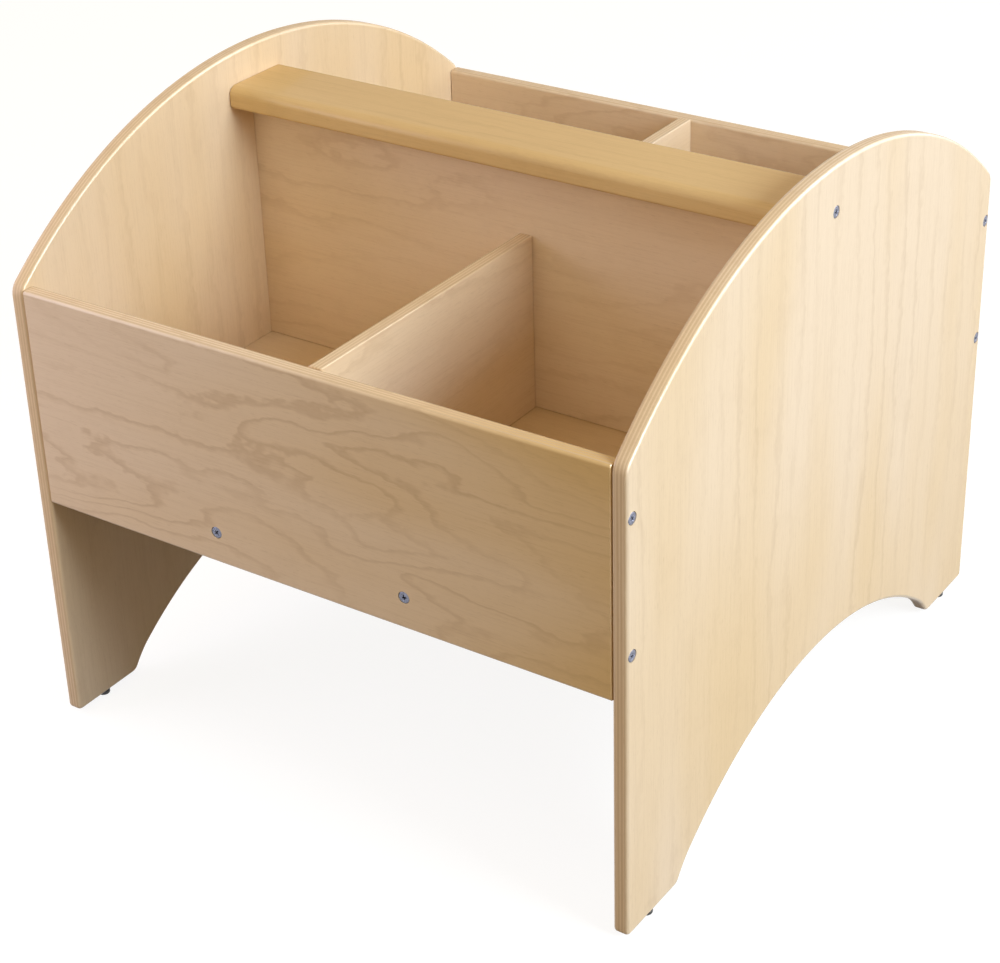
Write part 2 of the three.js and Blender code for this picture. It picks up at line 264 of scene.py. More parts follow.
def side_panel(name, centre_x):
    """A profile carried round an outline: ring k is the outline moved in along its normal by inset k, at the
    depth k of a half-round edge. Each flat is a Coons patch: the sum of the two blends between opposite
    chains less the blend of the four corners."""
    lower, upper, front, back = side_chains()
    columns, rows = len(lower), len(front)
    loop = np.concatenate([lower, back[1:], upper[-2::-1], front[-2:0:-1]])
    tangent = np.roll(loop, -1, axis=0) - np.roll(loop, 1, axis=0)
    tangent /= np.linalg.norm(tangent, axis=1)[:, None]
    inward = np.stack([-tangent[:, 1], tangent[:, 0]], axis=1)
    turn = np.linspace(0, math.pi / 2, roundover_points)
    inset = np.concatenate([[edge_radius + flat_margin], edge_radius * (1 - np.sin(turn))])
    inset = np.concatenate([inset, inset[::-1]])
    depth = np.concatenate([[0], edge_radius * (1 - np.cos(turn))])
    x = np.concatenate([board_thickness / 2 - depth, depth[::-1] - board_thickness / 2]) + centre_x
    ring_yz = loop[None] + inset[:, None, None] * inward[None]
    ring_x = np.broadcast_to(x[:, None, None], ring_yz.shape[:2] + (1,))
    rings = np.concatenate([ring_x, ring_yz], axis=2)
    ring_count, ring_length = rings.shape[:2]
    total = ring_count * ring_length
    points = [rings.reshape(-1, 3)]
    faces = [band_quads(np.arange(total).reshape(ring_count, ring_length))]

    ids = np.arange(ring_length)
    low = ids[:columns]
    right = ids[columns - 1:columns + rows - 1]
    high = ids[columns + rows - 2:2 * columns + rows - 2][::-1]
    left = np.append(ids[2 * columns + rows - 3:], 0)[::-1]
    u = np.linspace(0, 1, columns)[:, None, None]
    v = np.linspace(0, 1, rows)[None, :, None]
    inner = (columns - 2) * (rows - 2)
    for ring, outward in ((0, 1), (ring_count - 1, -1)):
        at = rings[ring]
        blend_v = (1 - v) * at[low][:, None] + v * at[high][:, None]
        blend_u = (1 - u) * at[left][None] + u * at[right][None]
        corners = (
            (1 - u) * (1 - v) * at[low[0]] + u * (1 - v) * at[low[-1]]
            + (1 - u) * v * at[high[0]] + u * v * at[high[-1]]
        )
        patch = blend_v + blend_u - corners
        grid = np.zeros((columns, rows), int)
        grid[:, 0] = low
        grid[:, -1] = high
        grid[0] = left
        grid[-1] = right
        grid += ring * ring_length
        grid[1:-1, 1:-1] = total + np.arange(inner).reshape(columns - 2, rows - 2)
        total += inner
        points.append(patch[1:-1, 1:-1].reshape(-1, 3))
        faces.append(grid_quads(grid)[:, ::outward])
    return make_piece(name, np.concatenate(points), np.concatenate(faces).tolist())


def axes_along(direction):
    """Three unit rows, of which the last is the direction and the other two stand square to it."""
    ahead = np.asarray(direction, float)
    first = np.roll(ahead, 1)
    return np.stack([first, np.cross(ahead, first), ahead])


def rings_at(radius, height, angle):
    """Rings of points (r cos a, r sin a, h): a row for each radius and height, a column for each angle."""
    return np.stack([radius * np.cos(angle), radius * np.sin(angle), height + 0 * angle], axis=2)


def turned_points(radius, height, sides):
    """A turned shape: rings of points for the inner rows of radius and height, between two poles."""
    angle = np.linspace(0, 2 * math.pi, sides, endpoint=False)
    radius, height = np.asarray(radius)[:, None], np.asarray(height)[:, None]
    rings = rings_at(radius[1:-1], height[1:-1], angle).reshape(-1, 3)
    return np.concatenate([[(0, 0, height[0, 0])], rings, [(0, 0, height[-1, 0])]])


def turned_faces(ring_count, sides):
    """Faces of a turned shape: a fan at the first pole, quads between rings, and a fan at the last pole."""
    ids = 1 + np.arange(ring_count * sides).reshape(ring_count, sides)
    last = 1 + ring_count * sides
    first_fan = np.stack([np.zeros(sides, int), np.roll(ids[0], -1), ids[0]], axis=1)
    last_fan = np.stack([np.full(sides, last), ids[-1], np.roll(ids[-1], -1)], axis=1)
    quads = band_quads(ids)[:, ::-1]
    return first_fan.tolist() + quads.tolist() + last_fan.tolist()


def bore_cutter(point, direction, radius, height):
    """A turned cutter along a direction from a point."""
    points = turned_points(radius, height, bore_sides) @ axes_along(direction) + np.asarray(point)
    return make_piece("cutter", points, turned_faces(len(radius) - 2, bore_sides))


def screw_bore(point, direction):
    """The counterbored hole of a screw: head and shank with a little play, open above the head."""
    head, shank = head_radius + fit_gap, shank_radius + fit_gap
    over, seat, tip = -edge_radius, head_thickness + fit_gap, screw_length + fit_gap
    radius = (0, head, head, shank, shank, 0)
    height = (over, over, seat, seat, tip, tip)
    return bore_cutter(point, direction, radius, height)


def nail_bore(point):
    """The hole of a glide's nail, up from the floor."""
    radius, top = nail_radius + fit_gap, nail_length + fit_gap
    return bore_cutter(point, (0, 0, 1), (0, radius, radius, 0), (0, 0, top, top))


def groove_cutter(low, high):
    """A box between two corners, as a cutter: low + share (high - low), with each share 0 or 1."""
    share = np.array([
        (0, 0, 0), (1, 0, 0), (1, 1, 0), (0, 1, 0),
        (0, 0, 1), (1, 0, 1), (1, 1, 1), (0, 1, 1),
    ])
    points = np.asarray(low) + share * (np.asarray(high) - np.asarray(low))
    faces = [(0, 3, 2, 1), (4, 5, 6, 7), (0, 1, 5, 4), (1, 2, 6, 5), (2, 3, 7, 6), (3, 0, 4, 7)]
    return make_piece("cutter", points, faces)


def cut_and_shade(piece, cutters):
    """Takes the cutters away from a piece, keeps the result as its own mesh, and smooths its gentle edges."""
    for cutter in cutters:
        step = piece.modifiers.new("cut", "BOOLEAN")
        step.operation = "DIFFERENCE"
        step.solver = "EXACT"
        step.object = cutter
    cut_piece = piece.evaluated_get(bpy.context.evaluated_depsgraph_get())
    shaped = bpy.data.meshes.new_from_object(cut_piece)
    piece.modifiers.clear()
    piece.data = shaped
    shaped.name = piece.name
    for cutter in cutters:
        bpy.data.objects.remove(cutter)
    shaped.polygons.foreach_set("use_smooth", np.ones(len(shaped.polygons), bool))
    shaped.set_sharp_from_angle(angle=smooth_angle)


def side_screw(sign, end, level):
    """Where a screw goes through a side into the end of a panel: the middle of its head, and its way in."""
    return (sign * side_high.x, end * panel_y, level), (-sign, 0, 0)


def cap_screw(sign):
    """Where a screw goes through a side into the end of the cap rail."""
    return (sign * side_high.x, 0, cap_middle_z), (-sign, 0, 0)


def feed(tree, node, feeds):
    """Sets a node's sockets to values, or links them to the outputs of other nodes."""
    for socket, value in feeds.items():
        if isinstance(value, bpy.types.NodeSocket):
            tree.links.new(value, node.inputs[socket])
        else:
            node.inputs[socket].default_value = value


def add_node(tree, kind, feeds=None, **settings):
    """A node with its properties set and its sockets fed."""
    made = tree.nodes.new(kind)
    for key, value in settings.items():
        setattr(made, key, value)
    feed(tree, made, feeds or {})
    return made


def maths(tree, operation, *feeds):
    """The result of one arithmetic step on values or sockets."""
    return add_node(tree, "ShaderNodeMath", dict(enumerate(feeds)), operation=operation).outputs[0]


def parts_of(tree, vector):
    """The three parts of a vector."""
    return add_node(tree, "ShaderNodeSeparateXYZ", {0: vector}).outputs


def noise(tree, vector, scale, detail, roughness=0.5):
    """Smooth noise from 0 to 1 over a vector."""
    feeds = {"Vector": vector, "Scale": scale, "Detail": detail, "Roughness": roughness}
    return add_node(tree, "ShaderNodeTexNoise", feeds).outputs["Fac"]


def stretched(tree, vector, factors):
    """A vector with each of its parts multiplied."""
    feeds = {0: vector, 1: factors}
    return add_node(tree, "ShaderNodeVectorMath", feeds, operation="MULTIPLY").outputs[0]


def drawn_noise(tree, vector, per_metre, detail, roughness=0.5):
    """Smooth noise from 0 to 1 that repeats so often in a metre of each part of a vector."""
    return noise(tree, stretched(tree, vector, per_metre), 1.0, detail, roughness)


def between(tree, value, low, high):
    """A smooth step: 0 below low, 1 above high."""
    feeds = {"Value": value, "From Min": low, "From Max": high, "To Min": 0.0, "To Max": 1.0}
    step = add_node(tree, "ShaderNodeMapRange", feeds, interpolation_type="SMOOTHSTEP", clamp=True)
    return step.outputs["Result"]


def mixed(tree, share, first, second):
    """One colour laid over another by a share. A mix node's colours are inputs 6 and 7 and output 2."""
    feeds = {0: share, 6: first, 7: second}
    return add_node(tree, "ShaderNodeMix", feeds, data_type="RGBA").outputs[2]


def layered(tree, colour, *layers):
    """A colour with tints laid over it in turn, each where its mask shows and by its amount."""
    for mask, amount, tint in layers:
        colour = mixed(tree, maths(tree, "MULTIPLY", mask, amount), colour, tint)
    return colour


def summed(tree, value, *masks):
    """A value to which masks are added in turn, each times its amount."""
    for mask, amount in masks:
        value = maths(tree, "MULTIPLY_ADD", mask, amount, value)
    return value


def relief(tree, height, strength, distance):
    """A normal that shows a height as a bump."""
    feeds = {"Strength": strength, "Distance": distance, "Height": height}
    return add_node(tree, "ShaderNodeBump", feeds).outputs[0]


def new_group(name, inputs, outputs):
    """An empty node group with named sockets; gives the group, its inputs and its output node."""
    group = bpy.data.node_groups.new(name, "ShaderNodeTree")
    for label, kind in inputs:
        group.interface.new_socket(name=label, in_out="INPUT", socket_type="NodeSocket" + kind)
    for label in outputs:
        group.interface.new_socket(name=label, in_out="OUTPUT", socket_type="NodeSocketFloat")
    return group, group.nodes.new("NodeGroupInput").outputs, group.nodes.new("NodeGroupOutput")


def placed_group(tree, group, **feeds):
    """The outputs of a node group that is placed in a tree with its inputs fed."""
    return add_node(tree, "ShaderNodeGroup", feeds, node_tree=group).outputs


def birch_figure_group():
    """Figure of a birch veneer over (along, across, depth) in metres. Growth lines are the contours of a
    hilly field: the fraction of (noise x waves + across x slope), darkest just before each step. Fibre and
    pores are noise drawn out along the grain, tone is slow noise, and a knot is the middle of a rare cell."""
    group, given, result = new_group(
        "birch_figure",
        [("Grain", "Vector"), ("Seed", "Float"), ("Waves", "Float"), ("Slope", "Float")],
        ["Lines", "Fibre", "Pores", "Tone", "Knot"],
    )
    shifts = [maths(group, "MULTIPLY", given["Seed"], part) for part in seed_shift]
    shift = add_node(group, "ShaderNodeCombineXYZ", dict(enumerate(shifts))).outputs[0]
    moved = add_node(group, "ShaderNodeVectorMath", {0: given["Grain"], 1: shift}, operation="ADD")
    place = moved.outputs[0]
    across = parts_of(group, place)[1]
    hills = drawn_noise(group, place, hills_per_metre, detail=3.0, roughness=0.42)
    wobble = drawn_noise(group, place, wobbles_per_metre, detail=2.0)
    kinks = drawn_noise(group, place, kinks_per_metre, detail=1.0)
    tilt = maths(group, "MULTIPLY", across, given["Slope"])
    field = summed(group, tilt, (hills, given["Waves"]), (wobble, wobble_share), (kinks, kink_share))
    phase = maths(group, "FRACT", field)
    rise = between(group, phase, *line_rise)
    fall = between(group, phase, *line_fall)
    fade = between(group, drawn_noise(group, place, fades_per_metre, detail=1.0), *fade_span)
    strength = maths(group, "MULTIPLY_ADD", fade, 1 - faintest_line, faintest_line)
    dashes = drawn_noise(group, place, pores_per_metre, detail=1.0)
    cell_place = stretched(group, place, knots_per_metre)
    cells = add_node(group, "ShaderNodeTexVoronoi", {"Vector": cell_place, "Scale": 1.0})
    off_knot = between(group, cells.outputs["Distance"], *knot_span)
    feed(group, result, {
        "Lines": maths(group, "MULTIPLY", maths(group, "SUBTRACT", rise, fall), strength),
        "Fibre": drawn_noise(group, place, fibres_per_metre, detail=3.0, roughness=0.6),
        "Pores": between(group, dashes, *pore_span),
        "Tone": drawn_noise(group, place, tones_per_metre, detail=2.0),
        "Knot": maths(group, "SUBTRACT", 1.0, off_knot),
    })
    return group


def ply_stack_group():
    """Layers across a board's depth: u = depth / ply + half the ply count. A cross ply is an odd whole part
    of u, and a glue line is where u is close to a whole number. The plies wander a little along the board."""
    group, given, result = new_group(
        "ply_stack",
        [("Grain", "Vector"), ("Ply", "Float"), ("Plies", "Float")],
        ["Cross ply", "Glue"],
    )
    depth = parts_of(group, given["Grain"])[2]
    wander = drawn_noise(group, given["Grain"], wanders_per_metre, detail=2.0)
    u = maths(group, "DIVIDE", depth, given["Ply"])
    u = maths(group, "MULTIPLY_ADD", given["Plies"], 0.5, u)
    u = maths(group, "ADD", u, maths(group, "MULTIPLY_ADD", wander, ply_wander, -ply_wander / 2))
    u = maths(group, "MAXIMUM", u, outer_ply_margin)
    u = maths(group, "MINIMUM", u, maths(group, "SUBTRACT", given["Plies"], outer_ply_margin))
    odd = maths(group, "FRACT", maths(group, "MULTIPLY", u, 0.5))
    before_end = maths(group, "SUBTRACT", 1.0, between(group, odd, *cross_ply_end))
    off_middle = maths(group, "ABSOLUTE", maths(group, "SUBTRACT", maths(group, "FRACT", u), 0.5))
    feed(group, result, {
        "Cross ply": maths(group, "MULTIPLY", between(group, odd, *cross_ply_start), before_end),
        "Glue": between(group, off_middle, *glue_span),
    })
    return group


def handling_wear_group():
    """Where hands and floors have dulled the lacquer: cloudy noise, stronger towards the floor."""
    group, given, result = new_group("handling_wear", [("Place", "Vector"), ("Amount", "Float")], ["Wear"])
    height = parts_of(group, given["Place"])[2]
    low = maths(group, "SUBTRACT", 1.0, between(group, height, 0.0, worn_height))
    clouds = noise(group, given["Place"], wear_clouds_per_metre, detail=4.0, roughness=0.6)
    strength = maths(group, "MULTIPLY_ADD", low, floor_wear, plain_wear)
    worn = maths(group, "MULTIPLY", strength, between(group, clouds, *wear_span))
    feed(group, result, {"Wear": maths(group, "MULTIPLY", worn, given["Amount"])})
    return group


birch_figure = birch_figure_group()
ply_stack = ply_stack_group()
handling_wear = handling_wear_group()


def new_material(name):
    """A material with a bare Principled shader; gives it, its tree, the shader and the object places."""
    material = bpy.data.materials.new(name)
    material.use_nodes = True
    tree = material.node_tree
    tree.nodes.clear()
    shader = tree.nodes.new("ShaderNodeBsdfPrincipled")
    add_node(tree, "ShaderNodeOutputMaterial", {"Surface": shader.outputs[0]})
    place = tree.nodes.new("ShaderNodeTexCoord").outputs["Object"]
    return material, tree, shader, place


def grain_frame(tree, place, centre, axes):
    """Object places counted from the middle of a board and put in the order along, across, depth."""
    moved = add_node(tree, "ShaderNodeMapping", {0: place, 1: centre}, vector_type="TEXTURE").outputs[0]
    parts = parts_of(tree, moved)
    order = {k: parts["XYZ".index(axis)] for k, axis in enumerate(axes)}
    return add_node(tree, "ShaderNodeCombineXYZ", order).outputs[0]


def plywood(
    name, centre, axes, seed, waves, slope, line_share,
    warm=veneer_warm, painted_light_drift=0.0, tone_span=plain_tone_span,
):
    """Lacquered birch plywood: figured face veneers over cross plies and glue lines that show at the edges.
    The veneer turns from its light to its warm tone over a span of slow noise, to which a shift along the
    grain, per metre, is added; on the front and back panels this shift is painted light, a colour gradient
    that stands in for cooler light at one end and warmer light at the other. The lacquer is fuller on the
    rounded edges: from an edge radius below the face up to the face itself."""
    material, tree, shader, place = new_material(name)
    grain = grain_frame(tree, place, centre, axes)
    along, _, depth = parts_of(tree, grain)
    figure = placed_group(tree, birch_figure, Grain=grain, Seed=seed, Waves=waves, Slope=slope)
    plies = placed_group(tree, ply_stack, Grain=grain, Ply=board_thickness / ply_count, Plies=ply_count)
    wear = placed_group(tree, handling_wear, Place=place, Amount=plywood_wear)["Wear"]
    fibre = figure["Fibre"]
    # Painted light where a shift per metre is given: the tone slides from pale towards warm along the board
    tone = between(tree, maths(tree, "MULTIPLY_ADD", along, painted_light_drift, figure["Tone"]), *tone_span)
    end_grain = maths(tree, "MULTIPLY_ADD", fibre, 1 - end_grain_share, end_grain_share)
    colour = layered(
        tree, mixed(tree, tone, veneer_light, warm),
        (figure["Lines"], line_share, latewood_brown),
        (between(tree, fibre, *streak_span), streak_share, latewood_brown),
        (figure["Pores"], pore_share, pore_brown),
        (figure["Knot"], knot_share, pore_brown),
        (plies["Cross ply"], end_grain, cross_ply_tan),
        (plies["Glue"], glue_share, glue_brown),
        (wear, wear_share, pore_brown),
    )
    roughness = summed(
        tree, plywood_roughness,
        (fibre, fibre_roughness), (plies["Cross ply"], cross_ply_roughness), (wear, wear_roughness),
    )
    raised = summed(tree, fibre, (figure["Pores"], pore_relief), (figure["Lines"], line_relief))
    face = board_thickness / 2
    off = maths(tree, "ABSOLUTE", depth)
    above_round = between(tree, off, face - edge_radius, face - edge_radius + edge_fade)
    on_face = between(tree, off, face - face_fade[0], face - face_fade[1])
    edge = maths(tree, "SUBTRACT", above_round, on_face)
    feed(tree, shader, {
        "Base Color": colour,
        "Roughness": roughness,
        "Normal": relief(tree, raised, grain_strength, grain_relief),
        "Coat Weight": maths(tree, "MULTIPLY_ADD", edge, edge_coat - face_coat, face_coat),
        "Coat Roughness": lacquer_roughness,
        "Specular IOR Level": bare_wood_gloss,
    })
    return material


def dress(piece, material, slot, *nodes):
    """Gives a piece its finish, ties it to the body, and hides the nodes that it stands for."""
    piece.data.materials.clear()
    piece.data.materials.append(material)
    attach(piece, "root")
    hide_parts(*nodes)


for side, sign, seed in (("left", -1, 3.1), ("right", 1, 8.4)):
    centre_x = sign * side_middle_x
    piece = side_panel(side + "_side", centre_x)
    bores = [screw_bore(*side_screw(sign, end, level)) for end in (-1, 1) for level in screw_levels]
    bores.append(screw_bore(*cap_screw(sign)))
    nails = [nail_bore((centre_x, end * glide_y, 0)) for end in (-1, 1)]
    groove_x = sorted((sign * (side_low.x - edge_radius), sign * (side_low.x + groove_depth)))
    shelf_groove = groove_cutter(
        (groove_x[0], -shelf_reach, shelf_low.z - fit_gap),
        (groove_x[1], shelf_reach, shelf_high.z + fit_gap))
    divider_groove = groove_cutter(
        (groove_x[0], -divider_reach, shelf_low.z + board_thickness / 2),
        (groove_x[1], divider_reach, divider_high.z + fit_gap))
    cut_and_shade(piece, bores + nails + [shelf_groove, divider_groove])
    side_birch = plywood(
        side + "_side_birch", (centre_x, 0, side_grain_z), "ZYX", seed,
        waves=1.6, slope=34.0, line_share=0.16)
    dress(piece, side_birch, "birch_plywood", side + "_side_panel")


# Bottom shelf
# The floor of the four compartments: a birch plywood board, sawn square, let into grooves in the sides and
# screwed to the two panels.
square_ease = 0.0006
sawn_radius = 1.2 * square_ease
least_radius = 0.00005
station_spacing = 0.03
board_corner_points = 7
shelf_middle_z = (shelf_low.z + shelf_high.z) / 2
shelf_screw_x = 0.089
divider_screw_x = (-0.180, 0, 0.180)
cross_x = 0.0095
foot_screw_inset = 0.060
cross_foot_y = (board_thickness / 2 + foot_screw_inset, half_depth - board_thickness - foot_screw_inset)


def rounded_section(width, height, radii, inset, arc_points):
    """A rectangle about the origin with its own radius at each corner, moved in all round by inset. Corner k
    is centre + radius (cos a, sin a) over a quarter turn, with a flat margin before and after it."""
    quarter = np.linspace(0, math.pi / 2, arc_points)
    signs = np.array([(1, -1), (1, 1), (-1, 1), (-1, -1)])
    corners = []
    for k, (radius, sign) in enumerate(zip(radii, signs)):
        angle = quarter + (k - 1) * math.pi / 2
        outward = np.stack([np.cos(angle), np.sin(angle)], axis=1)
        along = np.stack([-np.sin(angle), np.cos(angle)], axis=1)
        centre = sign * (np.array([width, height]) / 2 - radius)
        bend = centre + max(radius - inset, least_radius) * outward
        before = bend[:1] - flat_margin * along[:1]
        after = bend[-1:] + flat_margin * along[-1:]
        corners.append(np.concatenate([before, bend, after]))
    return np.concatenate(corners)


def board_along(name, low, high, run, radii, arc_points=board_corner_points):
    """A section carried straight along an axis, moved in at both ends by a small ease, and closed there."""
    low, high = np.asarray(low), np.asarray(high)
    run_axis = "XYZ".index(run)
    first, second = (run_axis + 1) % 3, (run_axis + 2) % 3
    middle, size = (low + high) / 2, high - low
    half_length = size[run_axis] / 2
    inner_count = max(2, round(size[run_axis] / station_spacing))
    inner = np.linspace(half_length - square_ease, square_ease - half_length, inner_count)
    stations = np.concatenate([[half_length], inner, [-half_length]])
    whole = rounded_section(size[first], size[second], radii, 0.0, arc_points)
    eased = rounded_section(size[first], size[second], radii, square_ease, arc_points)
    sections = np.stack([eased] + [whole] * inner_count + [eased])
    rings = np.zeros(sections.shape[:2] + (3,))
    rings[:, :, first] = sections[..., 0]
    rings[:, :, second] = sections[..., 1]
    rings[:, :, run_axis] = stations[:, None]
    ids = np.arange(sections.shape[0] * sections.shape[1]).reshape(sections.shape[:2])
    faces = band_quads(ids).tolist() + [ids[0].tolist(), ids[-1][::-1].tolist()]
    return make_piece(name, rings.reshape(-1, 3) + middle, faces)


def shelf_screw(side, end):
    """Where a screw goes through a panel into the edge of the shelf."""
    return (side * shelf_screw_x, end * half_depth, shelf_middle_z), (0, -end, 0)


def divider_foot_screw(x):
    """Where a screw goes up through the shelf into the centre divider."""
    return (x, 0, shelf_low.z), (0, 0, 1)


def cross_foot_screw(end, y):
    """Where a screw goes up through the shelf into a cross divider."""
    return (-end * cross_x, end * y, shelf_low.z), (0, 0, 1)


sawn = (sawn_radius,) * 4
piece = board_along("shelf_board", shelf_low, shelf_high, "X", sawn)
bores = [screw_bore(*shelf_screw(side, end)) for end in (-1, 1) for side in (-1, 1)]
bores += [screw_bore(*divider_foot_screw(x)) for x in divider_screw_x]
bores += [screw_bore(*cross_foot_screw(end, y)) for end in (-1, 1) for y in cross_foot_y]
cut_and_shade(piece, bores)
shelf_birch = plywood(
    "shelf_birch", (0, 0, shelf_middle_z), "XYZ", seed=5.2, waves=5.0, slope=24.0, line_share=0.16)
dress(piece, shelf_birch, "birch_plywood", "bottom_shelf")


# Front and back panels
# Plywood boards between the sides, flush with their edges, rounded over along the top and the bottom.
# Their face veneer is peeled round the log, so its growth lines run in wavy contours along the board.
rounded_all = (edge_radius,) * 4
# The panels' tone slides from pale towards -X to ochre towards +X: painted light, a colour gradient standing
# in for cooler light from the left and warmer light from the right
panel_warm_and_painted_light = (0.690, 0.475, 0.205, 1)
panel_painted_light_drift = 1.0
panel_tone_span = (0.32, 0.92)
for end, sign, seed in (("front", -1, 1.7), ("back", 1, 12.6)):
    low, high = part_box(end + "_panel")
    piece = board_along(end + "_board", low, high, "X", rounded_all)
    bores = [screw_bore(*shelf_screw(side, sign)) for side in (-1, 1)]
    bores += [screw_bore(*side_screw(side, sign, level)) for side in (-1, 1) for level in screw_levels]
    cut_and_shade(piece, bores)
    middle = (0, (low.y + high.y) / 2, (low.z + high.z) / 2)
    # The panel's birch carries the painted light gradient along the board
    panel_birch = plywood(
        end + "_panel_birch", middle, "XZY", seed, waves=13.0, slope=20.0, line_share=0.30,
        warm=panel_warm_and_painted_light, painted_light_drift=panel_painted_light_drift, tone_span=panel_tone_span)
    dress(piece, panel_birch, "birch_plywood", end + "_panel")


# Centre divider
# An upright plywood board that stands on the shelf, let into grooves in the sides and in the cap rail, and
# held from below by three screws.
cross_screw_inset = 0.044
cross_levels = (shelf_high.z + cross_screw_inset, shoulder_z - cross_screw_inset)


def cross_screw(end, level):
    """Where a screw goes through the centre divider into a cross divider."""
    return (-end * cross_x, -end * board_thickness / 2, level), (0, end, 0)


piece = board_along("divider_board", divider_low, divider_high, "X", sawn)
bores = [screw_bore(*divider_foot_screw(x)) for x in divider_screw_x]
bores += [screw_bore(*cross_screw(end, level)) for end in (-1, 1) for level in cross_levels]
cut_and_shade(piece, bores)
middle = (0, 0, (divider_low.z + divider_high.z) / 2)
divider_birch = plywood(
    "divider_birch", middle, "XZY", seed=21.3, waves=6.0, slope=22.0, line_share=0.17)
dress(piece, divider_birch, "birch_plywood", "centre_divider")


# Cross dividers
# Two plywood boards that halve the bin in front of and behind the centre divider, which they are screwed to
# side by side; their top edges are rounded over.
rounded_top = (edge_radius, sawn_radius, sawn_radius, edge_radius)
for end, sign, seed in (("front", -1, 16.9), ("back", 1, 27.5)):
    low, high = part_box(end + "_cross_divider")
    piece = board_along(end + "_cross_board", low, high, "Y", rounded_top)
    bores = [screw_bore(*cross_screw(sign, level)) for level in cross_levels]
    bores += [screw_bore(*cross_foot_screw(sign, y)) for y in cross_foot_y]
    cut_and_shade(piece, bores)
    middle = tuple((low + high) / 2)
    cross_birch = plywood(
        end + "_cross_birch", middle, "YZX", seed, waves=5.0, slope=24.0, line_share=0.17)
    dress(piece, cross_birch, "birch_plywood", end + "_cross_divider")


# Cap rail
# A thick rail of solid birch along the top of the centre divider, moulded to a round nose on both sides,
# grooved underneath, and held by one screw through each side.
nose_radius = 0.008
nose_points = 13
rail_grain_y = 0.02
rail_grain_drop = 0.03
rail_light = (0.720, 0.520, 0.260, 1)
rail_warm = (0.660, 0.460, 0.215, 1)
rail_line = (0.430, 0.275, 0.120, 1)
rail_line_share = 0.22
rail_streak_span = (0.4, 0.75)
rail_streak_share = 0.16
rail_pore_share = 0.18
rail_wear = 0.8
rail_wear_share = 0.15
rail_roughness = 0.32
rail_fibre_roughness = 0.14
rail_wear_roughness = 0.15
rail_lacquer_roughness = 0.16


def solid_birch(name, centre, seed, waves, slope):
    """Lacquered solid birch: a warmer figure of long straight lines, with fine fibre and pores."""
    material, tree, shader, place = new_material(name)
    grain = grain_frame(tree, place, centre, "XYZ")
    figure = placed_group(tree, birch_figure, Grain=grain, Seed=seed, Waves=waves, Slope=slope)
    wear = placed_group(tree, handling_wear, Place=place, Amount=rail_wear)["Wear"]
    fibre = figure["Fibre"]
    tone = between(tree, figure["Tone"], *plain_tone_span)
    colour = layered(
        tree, mixed(tree, tone, rail_light, rail_warm),
        (figure["Lines"], rail_line_share, rail_line),
        (between(tree, fibre, *rail_streak_span), rail_streak_share, rail_line),
        (figure["Pores"], rail_pore_share, rail_line),
        (wear, rail_wear_share, rail_line),
    )
    raised = summed(tree, fibre, (figure["Pores"], pore_relief))
    feed(tree, shader, {
        "Base Color": colour,
        "Roughness": summed(
            tree, rail_roughness, (fibre, rail_fibre_roughness), (wear, rail_wear_roughness)),
        "Normal": relief(tree, raised, grain_strength, grain_relief),
        "Coat Weight": face_coat,
        "Coat Roughness": rail_lacquer_roughness,
        "Specular IOR Level": bare_wood_gloss,
    })
    return material


nosed = (edge_radius, nose_radius, nose_radius, edge_radius)
piece = board_along("cap_board", cap_low, cap_high, "X", nosed, nose_points)
bores = [screw_bore(*cap_screw(side)) for side in (-1, 1)]
cap_groove = groove_cutter(
    (cap_low.x - edge_radius, -divider_reach, cap_low.z - edge_radius),
    (cap_high.x + edge_radius, divider_reach, divider_high.z + fit_gap))
cut_and_shade(piece, bores + [cap_groove])
rail_middle = (0, rail_grain_y, cap_middle_z - rail_grain_drop)
rail_birch = solid_birch("rail_birch", rail_middle, seed=33.0, waves=1.8, slope=60.0)
dress(piece, rail_birch, "solid_birch", "cap_rail")


# Screws
# Zinc-plated wood screws with a flat round head in a shallow counterbore, a cross recess for the driver and
# a coarse thread; they hold every board to its neighbour.
head_edge = 0.0006
head_crown = 0.00022
head_middle_radius = 0.0002
rim_drop = 0.0002
recess_reach = 0.0026
recess_half_width = 0.00062
recess_depth = 0.0017
recess_flare = 1.2
recess_taper = 0.35
recess_end_share = 0.35
recess_wall_share = 0.4
neck_length = 0.001
thread_start = 0.010
thread_run_in = 0.004
thread_pitch = 0.0027
thread_height = 0.0006
crest_half_share = 0.32
tip_length = 0.005
tip_gap = 0.0004
tip_share = 0.04
screw_sides = 48
head_rows = 16
rim_points = 5
shank_rows = 88
spin_step = 0.7
zinc_light = (0.250, 0.265, 0.340, 1)
zinc_dark = (0.110, 0.117, 0.160, 1)
# Near black for the bottom of the screw recess: partly grime, partly painted shade
recess_dirt_and_shade = (0.030, 0.031, 0.040, 1)
zinc_clouds_per_metre = 900.0
zinc_cloud_span = (0.3, 0.75)
zinc_metal = 0.9
zinc_roughness = 0.22
cloud_roughness = 0.3
dirt_and_shade_span = (0.1, 0.7)
dirt_roughness = 0.4
scratches_per_metre = (2600.0, 2600.0, 900.0)
scratch_strength = 0.12
scratch_relief = 0.0002


